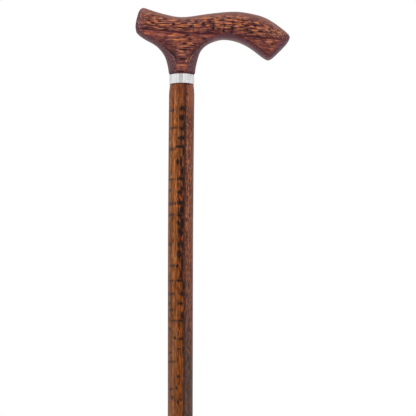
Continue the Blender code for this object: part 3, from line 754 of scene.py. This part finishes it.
def polished_collar():
    """Bright plated metal, streaked upright by polishing, with painted reflections: a duller strip on each
    side and lighter stripes between.
    """
    metal = Finish("collar_polish")
    streaks = metal.noise(metal.point, (0.9, 0.9, 18), seed=1)
    dents = metal.noise(metal.point, (1.5, 1.5, 1.2), detail=3, roughness=0.6, seed=2)
    turn = metal.sum("ARCTAN2", metal.x, -1 * metal.y) * (180 / math.pi)
    from_reflection_strip = metal.sum("PINGPONG", turn + REFLECTION_STRIP_TURN, REFLECTION_STRIP_SPACING / 2)
    painted_reflection_bands = metal.curve(from_reflection_strip, (0, 0.3), (8.5, 0.35), (12.5, 1), (17, 0.65), (45, 0.68))
    # Painted reflections: the strips, and with them the dents and the polishing streaks, make the metal's
    # colour lighter and darker as reflected studio light would
    shade = painted_reflection_bands + (dents - 0.5) + (streaks - 0.5) * 1.2
    colour = metal.mix(metal.ramp(shade, -0.1, 1), (162, 163, 163), (236, 236, 236))
    metal.bump(dents, 0.00010)
    return metal.set(
        Base_Color=colour, Metallic=1, Roughness=metal.ramp(streaks, 0.3, 0.7, 0.16, 0.28),
        Specular_Tint=(217.8, 219.2, 220.6),
    )


def moulded_rubber():
    """Black rubber, scuffed grey round the foot."""
    rubber = Finish("tip_moulded_rubber")
    pebble = rubber.noise(rubber.point, (0.5, 0.5, 0.5), detail=3, roughness=0.6)
    scuffs = rubber.noise(rubber.point, (3, 3, 0.8), detail=4, roughness=0.65, seed=3)
    low = rubber.fade(rubber.z, 0, 8)
    worn = rubber.ramp(scuffs, 0.50, 0.66) * rubber.ramp(low, 0, 1, 0.15, 1)
    colour = rubber.mix(pebble, (30, 30, 31), (44, 44, 45))
    colour = rubber.mix(worn * 0.6, colour, (100, 97, 92))
    rubber.bump(pebble, 0.00010)
    return rubber.set(
        Base_Color=colour, Roughness=rubber.ramp(pebble, 0.3, 0.7, 0.62, 0.78), Specular_IOR_Level=0.3,
    )


def plain_steel(name, grain):
    """Steel as it leaves the machine, with marks along its grain."""
    steel = Finish(name)
    marks = steel.noise(steel.point, grain, detail=3, roughness=0.6)
    colour = steel.mix(marks, (150, 150, 152), (196, 197, 199))
    steel.bump(marks, 0.00003)
    return steel.set(Base_Color=colour, Metallic=1, Roughness=steel.ramp(marks, 0.3, 0.7, 0.28, 0.42))


# Shapes

class Plan(Recipe):
    """A Geometry Nodes tree in the making, with the sizes and the finish as its named inputs."""

    KINDS = {int: "NodeSocketInt", float: "NodeSocketFloat", bpy.types.Material: "NodeSocketMaterial"}

    def __init__(self, name, **sizes):
        super().__init__(bpy.data.node_groups.new(name, "GeometryNodeTree"))
        self.tree.is_modifier = True
        self.sizes = sizes
        interface = self.tree.interface
        interface.new_socket("Geometry", in_out="INPUT", socket_type="NodeSocketGeometry")
        interface.new_socket("Geometry", in_out="OUTPUT", socket_type="NodeSocketGeometry")
        self.identifiers = {}
        for title, value in sizes.items():
            socket = interface.new_socket(title, in_out="INPUT", socket_type=self.KINDS[type(value)])
            self.identifiers[title] = socket.identifier
        given = self.tree.nodes.new("NodeGroupInput").outputs
        self.start = Value(self, given["Geometry"])
        self.given = SimpleNamespace(**{title: Value(self, given[title]) for title in sizes})

    def up(self, height):
        """A place or a move straight up the part's axis."""
        return self.join(0.0, 0.0, height)

    def circle(self, sides, radius):
        return self.add("GeometryNodeCurvePrimitiveCircle", sides, radius)

    def shift(self, shape, offset):
        return self.add("GeometryNodeSetPosition", shape, None, None, offset)

    def make(self, name, shape, start=None):
        """Ends the tree with the shape and its finish, and turns it into a plain piece."""
        shape = self.add("GeometryNodeRealizeInstances", shape)
        shape = self.add("GeometryNodeSetMaterial", shape, None, self.given.finish)
        ending = self.tree.nodes.new("NodeGroupOutput")
        self.give(ending.inputs[0], shape)
        carrier = start or add_object(name, bpy.data.meshes.new(name))
        modifier = carrier.modifiers.new("plan", "NODES")
        modifier.node_group = self.tree
        for title, value in self.sizes.items():
            modifier[self.identifiers[title]] = value
        piece = settle(carrier, name)
        shade_round(piece.data)
        return piece


def add_object(name, data, material=None):
    piece = bpy.data.objects.new(name, data)
    bpy.context.scene.collection.objects.link(piece)
    if material:
        data.materials.clear()
        data.materials.append(material)
    return piece


def settle(piece, name, material=None):
    """Turns a piece with modifiers into a plain mesh with this name and finish."""
    seen = piece.evaluated_get(bpy.context.evaluated_depsgraph_get())
    mesh = bpy.data.meshes.new_from_object(seen)
    mesh.name = name
    bpy.data.objects.remove(piece)
    return add_object(name, mesh, material)


def shade_round(mesh):
    mesh.shade_smooth()
    mesh.set_sharp_from_angle(angle=math.radians(SHARP_ANGLE))


def turned(name, profile, sides, closed=False):
    """A solid of revolution about Z from (radius, height) points, down the outer side."""
    mesh = bpy.data.meshes.new(name)
    points = [(radius, 0.0, height) for radius, height in profile]
    edges = [(i, i + 1) for i in range(len(points) - 1)]
    if closed:
        edges.append((len(points) - 1, 0))
    mesh.from_pydata(points, edges, [])
    piece = add_object(name, mesh)
    screw = piece.modifiers.new("turn", "SCREW")
    screw.axis = "Z"
    screw.steps = sides
    screw.render_steps = sides
    screw.use_merge_vertices = True
    screw.merge_threshold = MERGE_DISTANCE
    return piece


def rounded(corners, steps=6):
    """A profile through corners of (radius, height, how far from it each is rounded off)."""
    profile = []
    for i, (radius, height, reach) in enumerate(corners):
        corner = Vector((radius, height))
        if not reach:
            profile.append(corner)
            continue
        before = (Vector(corners[i - 1][:2]) - corner).normalized() * reach
        after = (Vector(corners[(i + 1) % len(corners)][:2]) - corner).normalized() * reach
        for step in range(steps + 1):
            share = step / steps
            profile.append(corner + before * (1 - share) ** 2 + after * share**2)
    return profile


def tidy_mesh(mesh):
    """Takes out the slivers and doubled points that cutting leaves."""
    body = bmesh.new()
    body.from_mesh(mesh)
    bmesh.ops.remove_doubles(body, verts=body.verts, dist=MERGE_DISTANCE / 10)
    bmesh.ops.dissolve_degenerate(body, edges=body.edges, dist=MERGE_DISTANCE / 10)
    body.to_mesh(mesh)
    body.free()


def grip_point(along, height):
    reach = NOSE_REACH if along < 0 else TAIL_REACH
    return Vector((along * reach, 0.0, NECK_BOTTOM + height * SADDLE_HEIGHT))


def step_out(section, share):
    """A step out of a section's plane, as a share of half the grip's width."""
    down = grip_point(*section[1]) - grip_point(*section[0])
    return Vector((-down.z, 0.0, down.x)).normalized() * share * GRIP_WIDTH / 2


def grip_ring(section, lower_corner=GRIP_CORNER_SHARE):
    """Five points down the front half of a section, from its top to its bottom."""
    top, bottom, width, bow = section
    start = grip_point(*top)
    end = grip_point(*bottom)
    down = end - start
    outward = step_out(section, bow)
    front = Vector((0.0, -width * GRIP_WIDTH / 2, 0.0))
    inset = (1 - GRIP_CORNER_SHARE) / 2
    return [
        start,
        start + down * inset + outward * GRIP_CORNER_SHARE + front * GRIP_CORNER_SHARE,
        start + down / 2 + outward + front,
        end - down * inset + outward * GRIP_CORNER_SHARE + front * lower_corner,
        end,
    ]


def neck_ring(section):
    """Five points round the front half of a section, from the nose side to the tail side."""
    height, nose_side, tail_side, front_side, corner = section
    level = NECK_BOTTOM + height * SADDLE_HEIGHT
    middle = (tail_side - nose_side) / 2 * NECK_RADIUS
    half_length = (tail_side + nose_side) / 2 * NECK_RADIUS
    half_width = front_side * NECK_RADIUS
    shape = ((-1.0, 0.0), (-corner, corner), (0.0, 1.0), (corner, corner), (1.0, 0.0))
    return [Vector((middle + half_length * x, -half_width * y, level)) for x, y in shape]


def add_strip(body, ring, next_ring, skip=()):
    for i in range(len(ring) - 1):
        if i not in skip:
            body.faces.new((ring[i], ring[i + 1], next_ring[i + 1], next_ring[i]))


def add_cap(body, ring, swell):
    """Closes half of a section with two faces that meet at a swollen centre."""
    hub = body.verts.new((ring[0].co + ring[4].co) / 2 + swell)
    body.faces.new((ring[0], ring[1], ring[2], hub))
    body.faces.new((ring[2], ring[3], ring[4], hub))


def handle_cage():
    """The front half of the handle's cage, open on the plane of symmetry."""
    body = bmesh.new()
    rings = [grip_ring(row) for row in GRIP_SHARES]
    rings[SADDLE_SECTION] = grip_ring(GRIP_SHARES[SADDLE_SECTION], NECK_FRONT_SHARE)
    grip = [[body.verts.new(point) for point in ring] for ring in rings]
    neck = [[body.verts.new(point) for point in neck_ring(row)] for row in NECK_SHARES]
    before, saddle, after = grip[SADDLE_SECTION - 1 : SADDLE_SECTION + 2]
    for ring, next_ring in zip(grip, grip[1:]):
        opening = (3,) if saddle in (ring, next_ring) else ()
        add_strip(body, ring, next_ring, opening)
    mouth = [before[4], before[3], saddle[3], after[3], after[4]]
    for ring, next_ring in zip([mouth] + neck, neck):
        add_strip(body, ring, next_ring)
    body.verts.remove(saddle[4])
    nose, tail = GRIP_SHARES[0], GRIP_SHARES[-1]
    add_cap(body, grip[0], step_out(nose, nose[3] - NOSE_SWELL_SHARE))
    add_cap(body, grip[-1], step_out(tail, tail[3] + TAIL_SWELL_SHARE))
    add_cap(body, neck[-1], Vector())
    return body


def limit_point(vert):
    """Where endless Catmull-Clark subdivision takes a point of a cage of quads."""
    count = len(vert.link_edges)
    near = sum((edge.other_vert(vert).co for edge in vert.link_edges), Vector())
    far = Vector()
    for loop in vert.link_loops:
        far += loop.link_loop_next.link_loop_next.vert.co
    return (vert.co * count**2 + near * 4 + far) / (count * (count + 5))


def fit_cage(body, rounds=60):
    """Moves the cage out until its smooth surface passes through the sections' points."""
    wanted = [vert.co.copy() for vert in body.verts]
    for _ in range(rounds):
        limits = [limit_point(vert) for vert in body.verts]
        for vert, goal, limit in zip(body.verts, wanted, limits):
            vert.co += goal - limit


def neck_cutter():
    """Faces off the neck at the collar and bores it for the screw."""
    below = NECK_BOTTOM - SADDLE_HEIGHT / 4
    bore_top = NECK_BOTTOM + BORE_DEPTH
    profile = [
        (0.0, bore_top),
        (BORE_RADIUS, bore_top),
        (BORE_RADIUS, NECK_BOTTOM),
        (NECK_RADIUS * 2, NECK_BOTTOM),
        (NECK_RADIUS * 2, below),
        (0.0, below),
    ]
    cutter = turned("neck_cutter", profile, BORE_SIDES)
    cutter.rotation_euler.z = math.pi / BORE_SIDES
    return cutter


def make_handle(material):
    body = handle_cage()
    front_half = body.verts[:] + body.edges[:] + body.faces[:]
    bmesh.ops.mirror(body, geom=front_half, axis="Y", merge_dist=MERGE_DISTANCE)
    bmesh.ops.recalc_face_normals(body, faces=body.faces)
    fit_cage(body)
    mesh = bpy.data.meshes.new("handle_cage")
    body.to_mesh(mesh)
    body.free()
    cage = add_object("handle_cage", mesh)
    smooth = cage.modifiers.new("smooth", "SUBSURF")
    smooth.levels = HANDLE_SMOOTHING
    smooth.render_levels = HANDLE_SMOOTHING
    cut = cage.modifiers.new("neck face and bore", "BOOLEAN")
    cut.operation = "DIFFERENCE"
    cut.solver = "EXACT"
    cutter = neck_cutter()
    cut.object = cutter
    piece = settle(cage, "carved_handle", material)
    bpy.data.objects.remove(cutter)
    tidy_mesh(piece.data)
    shade_round(piece.data)
    return piece


def make_collar(material):
    inner = COLLAR_RADIUS - COLLAR_WALL
    band = rounded((
        (inner, COLLAR_HIGH.z, 0.0),
        (COLLAR_RADIUS, COLLAR_HIGH.z, COLLAR_ROUND),
        (COLLAR_RADIUS, COLLAR_LOW.z, COLLAR_ROUND),
        (inner, COLLAR_LOW.z, 0.0),
    ))
    blank = turned("collar_blank", band, COLLAR_SIDES, closed=True)
    piece = settle(blank, "collar_band", material)
    shade_round(piece.data)
    return piece


def make_shaft(material):
    """The stick, tapered from shoulder to foot, with the spigot and bore of its top end."""
    plan = Plan(
        "tapered_stick",
        foot=SHAFT_LOW.z, shoulder=SHOULDER, top=SHAFT_HIGH.z, foot_radius=SHAFT_FOOT_RADIUS,
        top_radius=SHAFT_TOP_RADIUS, foot_chamfer=SHAFT_CHAMFER, shoulder_radius=SHOULDER_RADIUS,
        shoulder_ease=SHOULDER_EASE, spigot_radius=SPIGOT_RADIUS, bore_radius=BORE_RADIUS,
        bore_depth=SHAFT_BORE_DEPTH, ring_spacing=SHAFT_RING_SPACING, sides=SHAFT_SIDES,
        unevenness=SHAFT_UNEVENNESS, finish=material,
    )
    given = plan.given
    foot, shoulder, top = given.foot, given.shoulder, given.top
    rail = plan.add("GeometryNodeCurvePrimitiveLine", plan.up(foot), plan.up(shoulder))
    rail = plan.add("GeometryNodeResampleCurve", rail, None, given.ring_spacing, mode="LENGTH")
    height = plan.split(plan.add("GeometryNodeInputPosition"))[2]
    share = (height - foot) / (shoulder - foot)
    straight = given.foot_radius + (given.top_radius - given.foot_radius) * share
    eased = plan.level_off((shoulder - height) / given.shoulder_ease)
    radius = given.shoulder_radius + (straight - given.shoulder_radius) * eased
    radius = plan.sum("MINIMUM", radius, given.foot_radius - given.foot_chamfer + height - foot)
    rail = plan.shift(rail, plan.join(stick_bow(plan, shoulder - height) * -1.0, 0.0, 0.0))
    stick = plan.add("GeometryNodeCurveToMesh", rail, plan.circle(given.sides, 1.0), radius, True)

    normal = plan.add("GeometryNodeInputNormal")
    waves = plan.waver(plan.add("GeometryNodeInputPosition"), (0.03, 0.03, 0.09), detail=1.0, seed=2.0)
    stick = plan.shift(stick, plan.vector_sum("SCALE", normal, waves * given.unevenness))

    def rod(rod_radius, low, high):
        length = high - low
        shape = plan.add("GeometryNodeMeshCylinder", given.sides, 1, 1, rod_radius, length)
        return plan.add("GeometryNodeTransform", shape, plan.up(low + length / 2.0))

    spigot = rod(given.spigot_radius, shoulder - CUT_OVERLAP, top)
    stick = plan.add("GeometryNodeMeshBoolean", [stick, spigot], operation="UNION")
    bore = rod(given.bore_radius, top - given.bore_depth, top + CUT_OVERLAP)
    stick = plan.add("GeometryNodeMeshBoolean", stick, bore, operation="DIFFERENCE")
    return plan.make("shaft_stick", stick)


def make_rubber_tip(material):
    """The slip-on rubber foot: a turned sleeve with rounded ribs and a grooved tread."""
    wall_radius = TIP_RADIUS - TIP_FLARE
    top = TIP_HIGH.z
    socket = SHAFT_FOOT_RADIUS + TIP_CLEARANCE
    corners = [
        (0.0, TIP_FLOOR, 0.0),
        (socket, TIP_FLOOR, TREAD_ROUND),
        (wall_radius - TIP_WALL, top, TREAD_ROUND),
        (wall_radius, top, TIP_ROUND),
        (wall_radius, TIP_FLANGE_HEIGHT, TIP_FLARE - TIP_ROUND),
        (TIP_RADIUS, TIP_FLANGE_HEIGHT, TIP_ROUND),
        (TIP_RADIUS, 0.0, TIP_ROUND),
    ]
    band = (TIP_RADIUS - TIP_ROUND - TREAD_CENTRE_RADIUS) / (2 * TREAD_GROOVES)
    for groove in reversed(range(TREAD_GROOVES)):
        inner = TREAD_CENTRE_RADIUS + 2 * band * groove
        outer = inner + band
        walls = ((outer, 0.0), (outer, TREAD_DEPTH), (inner, TREAD_DEPTH), (inner, 0.0))
        corners += [(radius, height, TREAD_ROUND) for radius, height in walls]
    corners.append((0.0, 0.0, 0.0))
    sleeve = turned("tip_sleeve", rounded(corners, 4), TIP_SIDES)

    plan = Plan(
        "tip_ribs",
        ribs=RIB_COUNT, wall_radius=wall_radius, wall_top=top, wall_bottom=TIP_FLANGE_HEIGHT,
        reach=RIB_REACH, width=RIB_WIDTH, root=RIB_ROOT, sides=TIP_SIDES, finish=material,
    )
    given = plan.given
    spacing = (given.wall_top - given.wall_bottom) / (given.ribs + 1.0)
    lowest = plan.up(given.wall_bottom + spacing)
    places = plan.add("GeometryNodeMeshLine", given.ribs, lowest, plan.up(spacing))
    rail = plan.circle(given.sides, given.wall_radius - given.root)
    oval = plan.join(given.reach + given.root, given.width / 2.0, 1.0)
    bead = plan.add("GeometryNodeTransform", plan.circle(BEAD_SIDES, 1.0), None, None, oval)
    rib = plan.add("GeometryNodeCurveToMesh", rail, bead)
    half_side = plan.up(math.pi / given.sides)
    rib = plan.add("GeometryNodeTransform", rib, None, half_side)
    ribs = plan.add("GeometryNodeInstanceOnPoints", places, None, rib)
    ribs = plan.add("GeometryNodeRealizeInstances", ribs)
    tip = plan.add("GeometryNodeMeshBoolean", [plan.start, ribs], operation="UNION")
    return plan.make("ribbed_rubber_tip", tip, sleeve)


# Studio

def add_camera():
    camera = bpy.data.cameras.new("camera")
    camera.lens = CAMERA_LENS
    camera.sensor_width = CAMERA_SENSOR
    stand = add_object("camera", camera)
    stand.location = (CAMERA_SIDE, -CAMERA_DISTANCE, COLLAR_HIGH.z - CAMERA_DROP)
    stand.rotation_euler = (math.radians(90.0 + CAMERA_PITCH), 0.0, 0.0)
    bpy.context.scene.camera = stand


def add_softbox(name, place, size, power):
    lamp = bpy.data.lights.new(name, "AREA")
    lamp.size = size
    lamp.energy = power
    stand = add_object(name, lamp)
    stand.location = place
    stand.rotation_euler = (Vector(SOFTBOX_AIM) - Vector(place)).to_track_quat("-Z", "Y").to_euler()
    stand.visible_camera = False
    stand.visible_glossy = False


def add_floor():
    """A pale floor that glows a little to the camera, so that it stays white but keeps a shadow."""
    mesh = bpy.data.meshes.new("floor")
    directions = ((-1, -1), (1, -1), (1, 1), (-1, 1))
    corners = [(FLOOR_REACH * x, FLOOR_REACH * y, 0.0) for x, y in directions]
    mesh.from_pydata(corners, [], [(0, 1, 2, 3)])
    finish = Finish("floor_paint")
    material = finish.set(
        Base_Color=(196, 196, 196), Roughness=0.95, Specular_IOR_Level=0.1,
        Emission_Color=(255, 255, 255), Emission_Strength=finish.seen() * FLOOR_GLOW,
    )
    add_object("floor", mesh, material)


def light_world():
    """White all round to the eye and in reflections, and softer as a light."""
    world = bpy.data.worlds.new("studio")
    world.use_nodes = True
    bpy.context.scene.world = world
    recipe = Recipe(world.node_tree)
    background = world.node_tree.nodes["Background"]
    recipe.give(background.inputs["Strength"], recipe.seen() * (1.0 - WORLD_LIGHT) + WORLD_LIGHT)
    recipe.give(background.inputs["Color"], (255, 255, 255))


def main():
    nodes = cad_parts
    pieces = (
        (make_handle(handle_wood()), "handle", "handle_wood"),
        (make_collar(polished_collar()), "collar", "collar_metal"),
        (make_shaft(shaft_wood()), "shaft", "shaft_wood"),
        (make_rubber_tip(moulded_rubber()), "rubber_tip", "tip_rubber"),
    )
    for piece, node, slot in pieces:
        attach(piece, "root")
        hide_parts(node)
    kept = {
        "joining_screw": plain_steel("screw_rolled_steel", (1.0, 1.0, 0.4)),
        "tip_washer": plain_steel("washer_stamped_steel", (2.0, 0.3, 1.0)),
    }
    for name, material in kept.items():
        nodes[name].data.materials.clear()
        nodes[name].data.materials.append(material)
    add_camera()
    add_floor()
    light_world()
    for name, softbox in SOFTBOXES.items():
        add_softbox(name, *softbox)
    bpy.context.scene.view_settings.view_transform = "Standard"


main()
